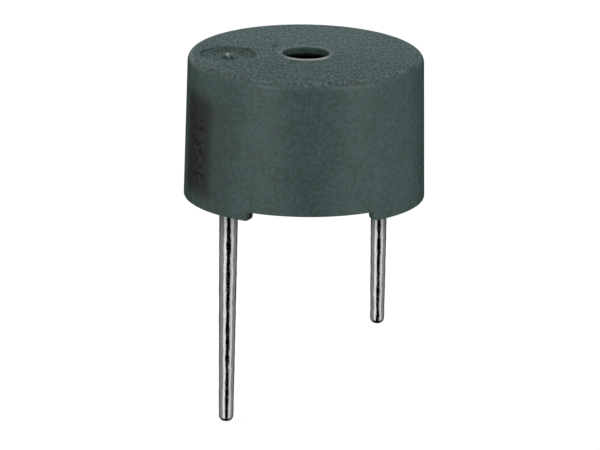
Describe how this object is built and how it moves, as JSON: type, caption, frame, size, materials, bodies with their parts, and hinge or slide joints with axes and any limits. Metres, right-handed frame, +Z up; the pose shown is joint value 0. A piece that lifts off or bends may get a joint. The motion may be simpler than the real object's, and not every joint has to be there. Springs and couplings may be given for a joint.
{
  "type": "buzzer",
  "caption": "Round moulded electromagnetic buzzer with a sound port in its top, a recessed plus mark, low feet and tinned pins of unequal length for a circuit board.",
  "frame": {"origin": "centre of the seating plane, midway between the pins, level with the undersides of the two feet", "axes": "+Z up along the case's axis to the sound port; -X to the longer, positive pin; +Y completes a right-handed frame"},
  "size_m": [0.0122, 0.0122, 0.0193],
  "materials": {
    "case_plastic": "finely textured moulding",
    "spring_steel": "rolled",
    "soft_iron": "dull plated",
    "ring_plastic": "moulded",
    "ferrite": "pressed, dull",
    "enamelled_wire": "enamelled copper",
    "board_laminate": "bare laminate",
    "copper_foil": "bare copper",
    "package_plastic": "moulded",
    "tinned_metal": "bright tin, slightly wavy",
    "resistor_ceramic": "fired",
    "solder": "smooth",
    "sealing_epoxy": "cast, smooth"
  },
  "bodies": {
    "root": {"case": "case_plastic", "diaphragm": "spring_steel", "armature_disc": "soft_iron", "support_ring": "ring_plastic", "ring_magnet": "ferrite", "yoke_plate": "soft_iron", "pole_core": "soft_iron", "drive_winding": "enamelled_wire", "feedback_winding": "enamelled_wire", "coil_leads": "enamelled_wire", "lead_joints": "solder", "circuit_board": "board_laminate", "copper_tracks": "copper_foil", "transistor_body": "package_plastic", "transistor_legs": "tinned_metal", "diode_body": "package_plastic", "diode_legs": "tinned_metal", "resistor_body": "resistor_ceramic", "resistor_caps": "tinned_metal", "positive_joint": "solder", "negative_joint": "solder", "positive_pin": "tinned_metal", "negative_pin": "tinned_metal", "sealing_compound": "sealing_epoxy"}
  },
  "joints": []
}
